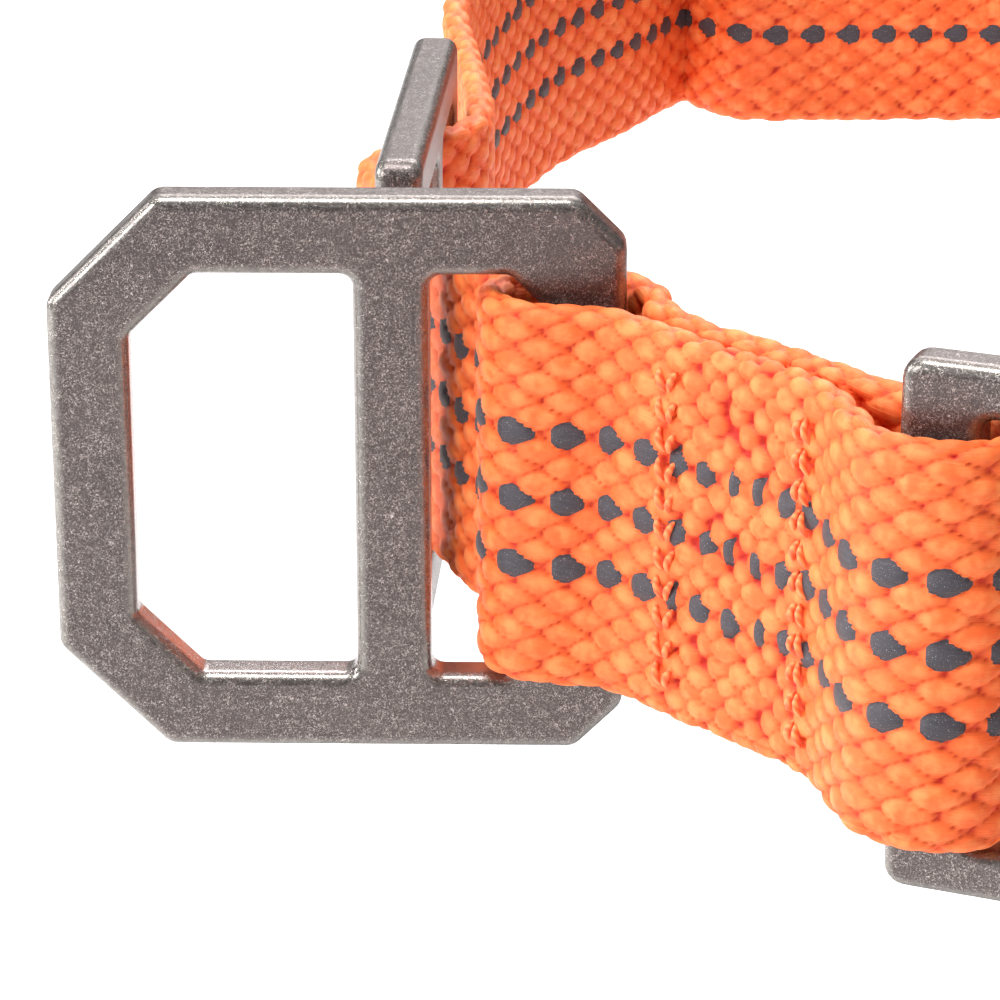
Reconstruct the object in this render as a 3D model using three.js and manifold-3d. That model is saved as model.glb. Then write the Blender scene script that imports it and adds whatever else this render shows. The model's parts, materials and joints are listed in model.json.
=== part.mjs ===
// A tree climbing spur: one of a pair, strapped to the inside of a boot and calf.
// A forged shank carries the stirrup under the boot, a replaceable steel gaff, and a bracket for the
// ankle strap.
// A slotted bar on the shank's upper end carries the calf cuff, and sets its height.
// The ankle strap is open: its eight-sided ring hangs free in front of the slider that it fastens to.
// Millimetres. +Z is up the leg, -Y is towards the toe, and +X is the inner side of the leg, where the
// shank stands.
// The origin is on top of the stirrup, in the middle of where the boot's sole rests.
import * as THREE from "three";
import { mergeVertices } from "three/addons/utils/BufferGeometryUtils.js";
import Module from "manifold-3d";

const wasm = await Module();
wasm.setup();

// Driving dimensions
const GAP = 0.3; // left between pieces that touch
const WEBBING = { width: 25, thickness: 2.1 }; // ankle webbing
const CALF_WEBBING = { width: 38, thickness: 2.2 };
const ANKLE_Z = 100; // height of the ankle strap's middle
const FOLD_RADIUS = 2.6; // inside radius of a webbing fold, so that the bar in it can turn
const RAIL = { thickness: 3.1, bevel: 0.7 }; // the plate that the strap hardware is cut from
const SLOT_HEIGHT = 26; // opening of the strap hardware, for 25 mm webbing
const BAR_WIDTH = 4.7;
const SHANK = { thickness: 7, width: 28, innerX: 45.5 };
const CALF = { x: 4.2, radius: 46.5, pad: 9, shell: 3.5, z: 305, height: 88 };
const BOLT_RADIUS = 3;
const BRACKET_SCREW_RADIUS = 2;

const GAFF_BOLTS_Z = [22, 42];
const BRACKET_SCREWS_Z = [ANKLE_Z - 23, ANKLE_Z + 23];
const HEIGHT_BOLTS_Z = [214, 246];
const CUFF_SCREWS_Z = [CALF.z - 14, CALF.z + 14];
const SHANK_TOP_X = 60; // middle of the shank's upper end, which leans away from the leg

// Plan of the ankle strap: where its hardware lies, seen from above
const DEG = THREE.MathUtils.DEG2RAD;
const RING_BAR = new THREE.Vector2(-30.8, -42.6); // the ring's bar that the band holds
const RING = { yaw: -1 * DEG, slotHeight: 26.4, border: 5, lift: 0.2 };
const LINK_BAR = new THREE.Vector2(-11.4, -66.4); // the link's bar that the band holds
const LINK = { length: 28.7, yaw: -22 * DEG };
const LINK_PITCH = LINK.length - BAR_WIDTH; // from bar to bar
const STRAP_BAR = LINK_BAR.clone().add(
  new THREE.Vector2(LINK_PITCH, 0).rotateAround(new THREE.Vector2(), LINK.yaw),
);
const SLIDER = { x: -41.7, y: -15, length: 33, yaw: 86.6 * DEG };

// Materials
const material = (color, roughness, metalness) =>
  new THREE.MeshStandardMaterial({ color, roughness, metalness });
const tumbledSteel = material(0x8c8684, 0.42, 0.9);
const forgedAlloy = material(0x4a4b4e, 0.5, 0.8);
const gaffSteel = material(0x77787a, 0.35, 0.95);
const boltSteel = material(0x9a9a9c, 0.3, 0.95);
const webbing = material(0xff6a2b, 0.85, 0);
const blackPlastic = material(0x222325, 0.55, 0);
const padFabric = material(0x2c2d30, 0.9, 0);

const group = new THREE.Group();
const placed = (geometry, surface, name, parent = group) => {
  const mesh = new THREE.Mesh(geometry, surface);
  mesh.name = name;
  parent.add(mesh);
  return mesh;
};

// Solids

// A closed three.js geometry as a manifold-3d solid.
function solid(geometry) {
  const bare = geometry.clone();
  bare.deleteAttribute("normal");
  bare.deleteAttribute("uv");
  const merged = mergeVertices(bare, 1e-4);
  return new wasm.Manifold(
    new wasm.Mesh({
      numProp: 3,
      vertProperties: new Float32Array(merged.attributes.position.array),
      triVerts: new Uint32Array(merged.index.array),
    }),
  );
}

// A manifold-3d solid as a three.js geometry.
function geometryOf(made) {
  const mesh = made.getMesh();
  const vertices = new Float32Array(mesh.numVert * 3);
  for (let i = 0; i < mesh.numVert; i++) {
    const start = i * mesh.numProp;
    vertices.set(mesh.vertProperties.subarray(start, start + 3), i * 3);
  }
  const geometry = new THREE.BufferGeometry();
  geometry.setAttribute("position", new THREE.BufferAttribute(vertices, 3));
  geometry.setIndex(new THREE.BufferAttribute(mesh.triVerts, 1));
  return geometry;
}

const cut = (geometry, ...tools) =>
  geometryOf(tools.reduce((body, tool) => body.subtract(solid(tool)), solid(geometry)));

// A closed surface through rings of points, each ring anticlockwise seen from behind the first one.
// The ends are capped unless the loft joins up with its own start.
function loft(rings, joined = false) {
  const size = rings[0].length;
  const indices = [];
  const bands = joined ? rings.length : rings.length - 1;
  for (let i = 0; i < bands; i++) {
    const here = i * size;
    const next = ((i + 1) % rings.length) * size;
    for (let j = 0; j < size; j++) {
      const k = (j + 1) % size;
      indices.push(here + j, here + k, next + k, here + j, next + k, next + j);
    }
  }
  if (!joined) {
    const last = (rings.length - 1) * size;
    for (let j = 1; j < size - 1; j++) {
      indices.push(0, j + 1, j, last, last + j, last + j + 1);
    }
  }
  const geometry = new THREE.BufferGeometry().setFromPoints(rings.flat());
  geometry.setIndex(indices);
  return solid(geometry).volume() > 0 ? geometry : flipped(geometry);
}

function flipped(geometry) {
  const index = geometry.index.array;
  for (let i = 0; i < index.length; i += 3) {
    [index[i + 1], index[i + 2]] = [index[i + 2], index[i + 1]];
  }
  return geometry;
}

// Eight points round a rectangle with cut corners: "across" and "through" are its unit directions.
function section(centre, across, width, through, thickness, corner) {
  const a = width / 2;
  const b = thickness / 2;
  return [
    [a - corner, -b],
    [a, -b + corner],
    [a, b - corner],
    [a - corner, b],
    [-a + corner, b],
    [-a, b - corner],
    [-a, -b + corner],
    [-a + corner, -b],
  ].map(([u, v]) =>
    centre.clone().addScaledVector(across, u).addScaledVector(through, v),
  );
}

// A flat band that stands on its edge, swept along a plan route with a few steps between its points.
function band(route, webbingSize, heightAt, joined = false) {
  const up = new THREE.Vector3(0, 0, 1);
  const curve = spline(route, joined);
  const steps = 2 * (joined ? route.length : route.length - 1);
  const count = joined ? steps : steps + 1;
  const rings = Array.from({ length: count }, (_, i) => {
    const point = curve.getPoint(i / steps);
    const tangent = curve.getTangent(i / steps);
    const through = new THREE.Vector3(tangent.y, -tangent.x, 0).normalize();
    const centre = new THREE.Vector3(point.x, point.y, heightAt(point));
    return section(centre, up, webbingSize.width, through, webbingSize.thickness, 0.5);
  });
  return loft(rings, joined);
}

const spline = (points, closed = false) =>
  new THREE.CatmullRomCurve3(
    points.map(([x, y]) => new THREE.Vector3(x, y, 0)),
    closed,
    "centripetal",
  );

// A cylinder along an axis ("x", "y" or "z"), centred at a point.
function cylinder(radius, length, axis, x, y, z, sides = 16) {
  const geometry = new THREE.CylinderGeometry(radius, radius, length, sides);
  if (axis === "x") geometry.rotateZ(-Math.PI / 2);
  if (axis === "z") geometry.rotateX(Math.PI / 2);
  return geometry.translate(x, y, z);
}

const box = (sizeX, sizeY, sizeZ, x, y, z) =>
  new THREE.BoxGeometry(sizeX, sizeY, sizeZ).translate(x, y, z);

// A polygon with each corner rounded off.
function roundedOutline(Kind, corners, radius) {
  const outline = new Kind();
  corners.forEach((corner, i) => {
    const before = corners.at(i - 1);
    const after = corners[(i + 1) % corners.length];
    const from = corner.clone().add(before.clone().sub(corner).setLength(radius));
    const to = corner.clone().add(after.clone().sub(corner).setLength(radius));
    if (i === 0) outline.moveTo(from.x, from.y);
    else outline.lineTo(from.x, from.y);
    outline.quadraticCurveTo(corner.x, corner.y, to.x, to.y);
  });
  outline.closePath();
  return outline;
}

// A rectangle from left to right whose corners are cut at 45 degrees, by cutLeft and cutRight.
function cutRectangle(left, right, height, cutLeft, cutRight) {
  const h = height / 2;
  const corners = [];
  const corner = (x, y, cutX, cutY) => {
    if (cutX === 0) corners.push(new THREE.Vector2(x, y));
    else corners.push(new THREE.Vector2(x, y - cutY), new THREE.Vector2(x - cutX, y));
  };
  corner(right, h, cutRight, cutRight);
  if (cutLeft === 0) corners.push(new THREE.Vector2(left, h), new THREE.Vector2(left, -h));
  else {
    corners.push(
      new THREE.Vector2(left + cutLeft, h),
      new THREE.Vector2(left, h - cutLeft),
      new THREE.Vector2(left, -h + cutLeft),
      new THREE.Vector2(left + cutLeft, -h),
    );
  }
  if (cutRight === 0) corners.push(new THREE.Vector2(right, -h));
  else {
    corners.push(
      new THREE.Vector2(right - cutRight, -h),
      new THREE.Vector2(right, -h + cutRight),
    );
  }
  return corners;
}

// Strap hardware: a plate with openings, standing upright. The plate's own X runs along the strap.
function hardwarePlate(outline, openings) {
  const shape = roundedOutline(THREE.Shape, outline, 0.9);
  shape.holes = openings.map((corners) => roundedOutline(THREE.Path, corners, 0.8));
  const geometry = new THREE.ExtrudeGeometry(shape, {
    depth: RAIL.thickness - 2 * RAIL.bevel,
    bevelThickness: RAIL.bevel,
    bevelSize: RAIL.bevel,
    bevelOffset: -RAIL.bevel,
    bevelSegments: 2,
    curveSegments: 2,
  });
  return geometry
    .translate(0, 0, -RAIL.thickness / 2 + RAIL.bevel)
    .rotateX(Math.PI / 2);
}

// Turns a geometry about +Z and puts it at a plan point, at the ankle strap's height.
const atAnkle = (geometry, plan, yaw) =>
  geometry.rotateZ(yaw).translate(plan.x, plan.y, ANKLE_Z);

// The shank and stirrup

// Middle of the bar in the XZ plane, from the stirrup's turned-up end to the top of the shank.
function shankLine() {
  const mid = SHANK.innerX + SHANK.thickness / 2;
  const sole = -SHANK.thickness / 2;
  const bend = 15;
  const line = new THREE.CurvePath();
  const point = (x, z) => new THREE.Vector3(x, 0, z);
  line.add(new THREE.QuadraticBezierCurve3(point(-58, 12), point(-56, sole), point(-42, sole)));
  line.add(new THREE.LineCurve3(point(-42, sole), point(mid - bend, sole)));
  line.add(
    new THREE.CubicBezierCurve3(
      point(mid - bend, sole),
      point(mid - bend * 0.45, sole),
      point(mid, sole + bend * 0.55),
      point(mid, sole + bend),
    ),
  );
  line.add(new THREE.LineCurve3(point(mid, sole + bend), point(mid, 135)));
  line.add(
    new THREE.CubicBezierCurve3(
      point(mid, 135),
      point(mid, 160),
      point(SHANK_TOP_X, 165),
      point(SHANK_TOP_X, 190),
    ),
  );
  line.add(new THREE.LineCurve3(point(SHANK_TOP_X, 190), point(SHANK_TOP_X, 256)));
  return line;
}

function shank() {
  const line = shankLine();
  const across = new THREE.Vector3(0, 1, 0);
  const rings = [];
  line.curves.forEach((curve, c) => {
    const steps = curve instanceof THREE.LineCurve3 ? 3 : 7;
    for (let i = c === 0 ? 0 : 1; i <= steps; i++) {
      const point = curve.getPoint(i / steps);
      const tangent = curve.getTangent(i / steps);
      const through = new THREE.Vector3(tangent.z, 0, -tangent.x);
      // The stirrup is broad under the boot, and the bar narrows above it.
      const onShank = THREE.MathUtils.smoothstep(point.z, 5, 60);
      const onStirrup = THREE.MathUtils.smoothstep(point.x, -58, -40);
      const width = THREE.MathUtils.lerp(22 + 14 * onStirrup, SHANK.width, onShank);
      rings.push(section(point, across, width, through, SHANK.thickness, 1.5));
    }
  });
  const hole = (z, radius) => cylinder(radius + GAP, 40, "x", SHANK_TOP_X, 0, z);
  return cut(
    loft(rings),
    ...[...GAFF_BOLTS_Z, ...HEIGHT_BOLTS_Z].map((z) => hole(z, BOLT_RADIUS)),
    ...BRACKET_SCREWS_Z.map((z) => hole(z, BRACKET_SCREW_RADIUS)),
  );
}

placed(shank(), forgedAlloy, "shank");

// The gaff: a bolted steel spike that leaves the shank outwards and ends in a point below the stirrup.
function gaff() {
  const face = SHANK.innerX + SHANK.thickness + GAP;
  // x, z, thickness, width
  const stations = [
    [face + 3.5, 54, 7, 16],
    [face + 3.5, 14, 7, 16],
    [face + 5.4, 2, 9.5, 14.5],
    [face + 9.5, -10, 11, 12.5],
    [face + 13.2, -24, 9, 10],
    [face + 15.6, -38, 5.6, 6.4],
    [face + 17, -50, 0.9, 1],
  ];
  const across = new THREE.Vector3(0, 1, 0);
  const rings = stations.map(([x, z, thickness, width], i) => {
    const before = stations[Math.max(i - 1, 0)];
    const after = stations[Math.min(i + 1, stations.length - 1)];
    const along = new THREE.Vector3(after[0] - before[0], 0, after[1] - before[1]).normalize();
    const through = new THREE.Vector3(along.z, 0, -along.x);
    const corner = Math.min(thickness, width) * 0.28;
    return section(new THREE.Vector3(x, 0, z), across, width, through, thickness, corner);
  });
  const holes = GAFF_BOLTS_Z.map((z) =>
    cylinder(BOLT_RADIUS + GAP, 20, "x", face + 3.5, 0, z),
  );
  return cut(loft(rings), ...holes);
}
placed(gaff(), gaffSteel, "gaff");

// A cap-head bolt along X. Its head's underside is at headX, and its shank points towards -X.
function bolt(headX, z, length, radius = BOLT_RADIUS, y = 0) {
  const head = radius * 1.65;
  const headHeight = radius * 1.1;
  const profile = [
    [0, headHeight],
    [head - 0.6, headHeight],
    [head, headHeight - 0.6],
    [head, 0],
    [radius, 0],
    [radius, -length + 0.5],
    [radius - 0.5, -length],
    [0, -length],
  ].map(([x, h]) => new THREE.Vector2(x, h));
  const geometry = new THREE.LatheGeometry(profile.reverse(), 16);
  return geometry.rotateZ(-Math.PI / 2).translate(headX, y, z);
}

function washer(x, z, thickness = 1.2, bore = BOLT_RADIUS, rim = BOLT_RADIUS * 2.1) {
  return cut(
    cylinder(rim, thickness, "x", x, 0, z),
    cylinder(bore + GAP, thickness * 3, "x", x, 0, z),
  );
}

const SHANK_OUTER_X = SHANK.innerX + SHANK.thickness;
const WASHER = 1.2;
GAFF_BOLTS_Z.forEach((z, i) => {
  const place = ["lower", "upper"][i];
  const face = SHANK_OUTER_X + GAP + 7 + GAP;
  placed(washer(face + WASHER / 2, z), boltSteel, `gaff_washer_${place}`);
  placed(bolt(face + WASHER + GAP, z, 14), boltSteel, `gaff_bolt_${place}`);
});

// The bracket on the shank's leg side, which the ankle strap runs through.
const BRACKET = { width: 19, plate: 2, innerX: 39.6, tunnel: SLOT_HEIGHT + 1 };
function strapBracket() {
  const { width, plate, innerX, tunnel } = BRACKET;
  const face = SHANK.innerX - GAP;
  const half = tunnel / 2;
  const foot = 17;
  const outline = [
    [face, -half - foot],
    [face, -half],
    [innerX + plate, -half],
    [innerX + plate, half],
    [face, half],
    [face, half + foot],
    [face - plate, half + foot],
    [face - plate, half + plate],
    [innerX, half + plate],
    [innerX, -half - plate],
    [face - plate, -half - plate],
    [face - plate, -half - foot],
  ].map(([x, z]) => new THREE.Vector2(x, z));
  const geometry = new THREE.ExtrudeGeometry(new THREE.Shape(outline), {
    depth: width,
    bevelEnabled: false,
  });
  geometry.rotateX(Math.PI / 2).translate(0, width / 2, ANKLE_Z);
  const holes = BRACKET_SCREWS_Z.map((z) =>
    cylinder(BRACKET_SCREW_RADIUS + GAP, 20, "x", face, 0, z),
  );
  return cut(geometry, ...holes);
}
placed(strapBracket(), tumbledSteel, "strap_bracket");

// A screw whose low head is on the leg side, so its shank points towards +X.
function legSideScrew(headX, z, length) {
  return bolt(-headX, z, length, BRACKET_SCREW_RADIUS).rotateZ(Math.PI);
}
BRACKET_SCREWS_Z.forEach((z, i) => {
  const head = SHANK.innerX - GAP - BRACKET.plate - GAP;
  placed(legSideScrew(head, z, 8), boltSteel, `bracket_screw_${["lower", "upper"][i]}`);
});

// The ankle strap

const strapHeight = (point) => ANKLE_Z + 4 * THREE.MathUtils.smoothstep(point.y, 14, 66);

// Radius of a fold's middle line.
const foldMiddle = FOLD_RADIUS + WEBBING.thickness / 2;

// Points of a half turn about a plan point, from one heading to the opposite one.
function halfTurn(x, y, radius, startDegrees, turnDegrees = 180) {
  return Array.from({ length: 7 }, (_, i) => {
    const angle = (startDegrees + (turnDegrees * i) / 6) * DEG;
    return [x + radius * Math.cos(angle), y + radius * Math.sin(angle)];
  });
}

// The band that holds the ring: webbing round the ring's bar and the link's bar, sewn together between them.
function ringBand() {
  const linkTurn = halfTurn(LINK_BAR.x + 0.5, LINK_BAR.y - 0.25, foldMiddle, -112);
  const route = [
    ...halfTurn(RING_BAR.x - 2.2, RING_BAR.y, foldMiddle, 90),
    [-29.9, -46.9],
    [-27.2, -49.3],
    [-24.2, -52.7],
    [-21.2, -55.8],
    [-18.7, -58.7],
    [-17.3, -61.2],
    [-16.5, -64.6],
    [-15.3, -67.9],
    ...linkTurn,
    [-11.9, -61.6],
    [-14.3, -59.7],
    [-16.5, -57.4],
    [-19.1, -54.4],
    [-21.9, -51.6],
    [-24.6, -48.6],
    [-26.3, -45.4],
    [-26.8, -42.2],
    [-28.9, -39.1],
  ];
  return band(route, WEBBING, () => ANKLE_Z, true);
}
placed(ringBand(), webbing, "ring_band");

// The eight-sided ring. Its own X is 0 at the bar that the band holds.
function ring() {
  const height = RING.slotHeight + 2 * RING.border;
  const outline = cutRectangle(-33.2, BAR_WIDTH / 2, height, 6.8, 3);
  const mouth = cutRectangle(-28.2, -14.4, RING.slotHeight, 4, 0);
  const slot = cutRectangle(-9.7, -BAR_WIDTH / 2, RING.slotHeight, 0, 2.4);
  const plate = atAnkle(hardwarePlate(outline, [mouth, slot]), RING_BAR, RING.yaw);
  return plate.translate(0, 0, RING.lift);
}
placed(ring(), tumbledSteel, "ring");

// The link between the band and the main strap: a bar at each end and one across its middle.
function link() {
  const half = BAR_WIDTH / 2;
  const outline = cutRectangle(-half, LINK.length - half, SLOT_HEIGHT + 6.4, 1.5, 1.5);
  const middle = LINK_PITCH / 2;
  const openings = [
    cutRectangle(half, middle - half, SLOT_HEIGHT, 0, 0),
    cutRectangle(middle + half, LINK_PITCH - half, SLOT_HEIGHT, 0, 0),
  ];
  return atAnkle(hardwarePlate(outline, openings), LINK_BAR, LINK.yaw);
}
placed(link(), tumbledSteel, "link");

// The slider that the ring fastens to, on the strap's outer side.
function slider() {
  const half = SLIDER.length / 2;
  const outline = cutRectangle(-half, half, SLOT_HEIGHT + 8, 1.5, 1.5);
  const openings = [
    cutRectangle(-half + BAR_WIDTH, -1.8, SLOT_HEIGHT, 0, 0),
    cutRectangle(1.8, half - BAR_WIDTH, SLOT_HEIGHT, 0, 0),
  ];
  return atAnkle(hardwarePlate(outline, openings), SLIDER, SLIDER.yaw);
}
placed(slider(), tumbledSteel, "slider");

// The main strap: sewn round the link's far bar, through the bracket, round the heel, over the slider's
// middle bar and back to a free end behind the ring.
function ankleStrap() {
  const fromBar = (u, v) => {
    const p = new THREE.Vector2(u, v).rotateAround(new THREE.Vector2(), LINK.yaw).add(STRAP_BAR);
    return [p.x, p.y];
  };
  const route = [
    fromBar(17.5, 3.5),
    fromBar(12, 1.2),
    fromBar(8, 1.3),
    fromBar(5, 3.6),
    ...halfTurn(0, 0, foldMiddle + 1, 90).map(([u, v]) => fromBar(u, v)),
    fromBar(5, -3.6),
    fromBar(8.6, -1.3),
    fromBar(12, -1.2),
    [29.4, -75.5],
    [36.8, -65.2],
    [41.2, -50],
    [43, -33],
    [43.5, -14],
    [43.5, 0],
    [43.5, 14],
    [42.5, 32],
    [38, 49],
    [30, 61],
    [20, 68.5],
    [8.5, 70.3],
    [-6, 70.2],
    [-14.5, 70.6],
    [-17.6, 73.4],
    [-19.3, 76.6],
    [-21.4, 74],
    [-25.2, 66.5],
    [-32, 56],
    [-37, 43],
    [-39.6, 28],
    [-38.6, 16],
    [-37.8, 5],
    [-37.7, -2],
    [-39, -5.6],
    [-42, -9.6],
    [-44.3, -12.6],
    [-44.9, -15],
    [-44.3, -17.4],
    [-42.3, -21],
    [-40.2, -24.2],
    [-38.9, -27.6],
    [-37.7, -30.9],
    [-36.2, -33.6],
    [-34.6, -35.6],
  ];
  return band(route, WEBBING, strapHeight);
}
placed(ankleStrap(), webbing, "ankle_strap");

// The height bar and the calf cuff

const HEIGHT_TRAVEL = 36;
const BAR = { width: 22, thickness: 4.5, bottom: HEIGHT_BOLTS_Z[0] - HEIGHT_TRAVEL - 14, top: 336 };
const BAR_X = SHANK_TOP_X + SHANK.thickness / 2 + GAP; // the bar's leg-side face
const CUFF_SCREW_RADIUS = 2.5;

// Extrudes a shape drawn in the YZ plane along +X, from a given x.
function extrudedAlongX(shape, fromX, depth) {
  const geometry = new THREE.ExtrudeGeometry(shape, {
    depth,
    bevelEnabled: false,
    curveSegments: 5,
  });
  return geometry.rotateX(Math.PI / 2).rotateZ(Math.PI / 2).translate(fromX, 0, 0);
}

// A slot with round ends along Z, between the centres of its ends.
function slotShape(low, high, radius) {
  const shape = new THREE.Shape();
  shape.absarc(0, high, radius, 0, Math.PI);
  shape.absarc(0, low, radius, Math.PI, 2 * Math.PI);
  return shape;
}

function heightBar() {
  const half = BAR.width / 2;
  const corners = [
    [half, BAR.bottom],
    [half, BAR.top],
    [-half, BAR.top],
    [-half, BAR.bottom],
  ].map(([y, z]) => new THREE.Vector2(y, z));
  const [lowBolt, highBolt] = HEIGHT_BOLTS_Z;
  return cut(
    extrudedAlongX(roundedOutline(THREE.Shape, corners, 8), BAR_X, BAR.thickness),
    extrudedAlongX(
      slotShape(lowBolt - HEIGHT_TRAVEL, highBolt, BOLT_RADIUS + GAP),
      BAR_X - 5,
      20,
    ),
    ...CUFF_SCREWS_Z.map((z) => cylinder(CUFF_SCREW_RADIUS + GAP, 20, "x", BAR_X, 0, z)),
  );
}
placed(heightBar(), forgedAlloy, "height_bar");

HEIGHT_BOLTS_Z.forEach((z, i) => {
  const place = ["lower", "upper"][i];
  const face = BAR_X + BAR.thickness + GAP;
  placed(washer(face + WASHER / 2, z), boltSteel, `height_washer_${place}`);
  placed(bolt(face + WASHER + GAP, z, 11.5), boltSteel, `height_bolt_${place}`);
});

// An arc of the calf's cylinder, between two radii and two angles from +X.
function calfArc(inner, outer, degrees, height, steps) {
  const arc = (radius, sign) =>
    Array.from({ length: steps + 1 }, (_, i) => {
      const angle = sign * (2 * (i / steps) - 1) * degrees * DEG;
      return new THREE.Vector2(radius * Math.cos(angle), radius * Math.sin(angle));
    });
  const shape = new THREE.Shape([...arc(outer, 1), ...arc(inner, -1)]);
  const geometry = new THREE.ExtrudeGeometry(shape, { depth: height, bevelEnabled: false });
  return geometry.translate(CALF.x, 0, CALF.z - height / 2);
}

const SHELL = {
  inner: CALF.radius + CALF.pad + GAP,
  outer: CALF.radius + CALF.pad + GAP + CALF.shell,
  angle: 73,
};
const STRAP_SLOT_ANGLE = 64;

// A box that points outwards from the calf's axis at an angle from +X.
function radialBox(depth, width, height, radius, degrees) {
  return new THREE.BoxGeometry(depth, width, height)
    .translate(radius, 0, 0)
    .rotateZ(degrees * DEG)
    .translate(CALF.x, 0, CALF.z);
}

// The shell: a curved plate whose corners are cut off, with a slot for the strap near each end.
function cuffShell() {
  const slotHeight = CALF_WEBBING.width + 3;
  const slots = [-1, 1].map((side) =>
    radialBox(20, 6, slotHeight, SHELL.outer, side * STRAP_SLOT_ANGLE),
  );
  const corners = [-1, 1].flatMap((side) =>
    [-1, 1].map((end) => {
      const wedge = new THREE.BoxGeometry(30, 42, 42).rotateX(Math.PI / 4);
      return wedge
        .translate(SHELL.outer - 8, 0, end * (CALF.height / 2 + 10))
        .rotateZ(side * (SHELL.angle + 12) * DEG)
        .translate(CALF.x, 0, CALF.z);
    }),
  );
  const screws = CUFF_SCREWS_Z.map((z) =>
    cylinder(CUFF_SCREW_RADIUS + GAP, 30, "x", BAR_X, 0, z),
  );
  const blank = calfArc(SHELL.inner, SHELL.outer, SHELL.angle, CALF.height, 28);
  return cut(blank, ...slots, ...corners, ...screws);
}
placed(cuffShell(), blackPlastic, "cuff_shell");

// The pad, with a pocket behind the screws' nuts.
function cuffPad() {
  const outer = SHELL.inner - GAP;
  const pocket = box(4, 14, 52, CALF.x + outer, 0, CALF.z);
  return cut(calfArc(CALF.radius, outer, 56, CALF.height - 6, 16), pocket);
}
placed(cuffPad(), padFabric, "cuff_pad");

function hexNut(x, z, radius, thickness, bore) {
  return cut(
    cylinder(radius, thickness, "x", x, 0, z, 6),
    cylinder(bore + GAP, thickness * 3, "x", x, 0, z),
  );
}

CUFF_SCREWS_Z.forEach((z, i) => {
  const place = ["lower", "upper"][i];
  const head = BAR_X + BAR.thickness + GAP;
  const leg = CALF.x + SHELL.inner - GAP;
  placed(bolt(head, z, head - leg + 1.6, CUFF_SCREW_RADIUS), boltSteel, `cuff_screw_${place}`);
  placed(hexNut(leg - 0.8, z, 4.4, 1.5, CUFF_SCREW_RADIUS), boltSteel, `cuff_nut_${place}`);
});

// The calf strap: sewn round the shell's front slot, round the leg, out through the rear slot and back
// over itself. Radius and angle from +X of its middle line.
function calfStrap() {
  const route = [
    [52, -101],
    [52.6, -93],
    [53.3, -86],
    [53.9, -78],
    [54.1, -72],
    [54, -68.3],
    [54.9, -65.7],
    [56.6, -64.4],
    [58.6, -64.5],
    [60.4, -65.9],
    [61.3, -68.5],
    [61.1, -72],
    [59.8, -77.5],
    [57.2, -84],
    [55.6, -91],
    [54.9, -98],
    [53.6, -106],
    [51.4, -120],
    [50.3, -140],
    [50, -165],
    [50, -190],
    [50.2, -215],
    [51, -240],
    [52.2, -260],
    [53.4, -274],
    [54, -284],
    [54, -291.7],
    [54.9, -294.3],
    [56.6, -295.6],
    [58.6, -295.5],
    [60.4, -294.1],
    [61.3, -291.5],
    [61, -287],
    [59.6, -281.5],
    [57.2, -274],
    [55.6, -264],
    [54.6, -252],
    [53.4, -238],
    [52.9, -224],
  ].map(([radius, degrees]) => [
    CALF.x + radius * Math.cos(degrees * DEG),
    radius * Math.sin(degrees * DEG),
  ]);
  return band(route, CALF_WEBBING, () => CALF.z);
}
placed(calfStrap(), webbing, "calf_strap");

export default group;
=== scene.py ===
# The look of a tree climbing spur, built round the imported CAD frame. Metres, in the frame's own axes:
# +Z up the leg, -Y towards the toe, +X towards the inner side of the leg.
import json
import math

import bmesh
import bpy
import numpy as np
from mathutils import Matrix, Vector
from mathutils.geometry import tessellate_polygon

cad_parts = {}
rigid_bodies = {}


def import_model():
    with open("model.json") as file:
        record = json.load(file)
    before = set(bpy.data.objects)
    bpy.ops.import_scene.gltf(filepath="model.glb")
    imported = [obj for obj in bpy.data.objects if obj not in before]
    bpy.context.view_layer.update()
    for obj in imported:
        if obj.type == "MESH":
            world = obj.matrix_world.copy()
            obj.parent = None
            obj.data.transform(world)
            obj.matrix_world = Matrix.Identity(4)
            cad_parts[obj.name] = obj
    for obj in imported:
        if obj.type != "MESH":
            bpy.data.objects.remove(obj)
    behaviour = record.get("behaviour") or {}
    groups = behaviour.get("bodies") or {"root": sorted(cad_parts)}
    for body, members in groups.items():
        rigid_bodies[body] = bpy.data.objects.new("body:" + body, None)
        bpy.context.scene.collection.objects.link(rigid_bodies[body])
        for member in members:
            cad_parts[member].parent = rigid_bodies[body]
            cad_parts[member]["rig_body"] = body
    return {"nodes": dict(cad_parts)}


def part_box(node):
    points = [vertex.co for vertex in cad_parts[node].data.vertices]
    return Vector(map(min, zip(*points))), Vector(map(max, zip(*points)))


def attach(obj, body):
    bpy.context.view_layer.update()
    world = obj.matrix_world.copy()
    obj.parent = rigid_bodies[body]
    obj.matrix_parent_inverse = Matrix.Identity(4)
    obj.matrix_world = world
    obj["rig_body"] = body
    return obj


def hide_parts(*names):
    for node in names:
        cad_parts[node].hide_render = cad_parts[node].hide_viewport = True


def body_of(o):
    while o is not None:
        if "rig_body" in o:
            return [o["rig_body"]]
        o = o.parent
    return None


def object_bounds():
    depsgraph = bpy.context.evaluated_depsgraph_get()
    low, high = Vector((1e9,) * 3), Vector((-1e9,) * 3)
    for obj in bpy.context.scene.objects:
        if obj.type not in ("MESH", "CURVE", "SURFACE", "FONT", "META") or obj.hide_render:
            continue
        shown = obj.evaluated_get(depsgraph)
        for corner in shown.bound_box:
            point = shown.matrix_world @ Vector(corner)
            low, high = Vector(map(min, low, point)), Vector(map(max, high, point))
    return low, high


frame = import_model()
cad_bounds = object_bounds()

MM = 0.001

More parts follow.
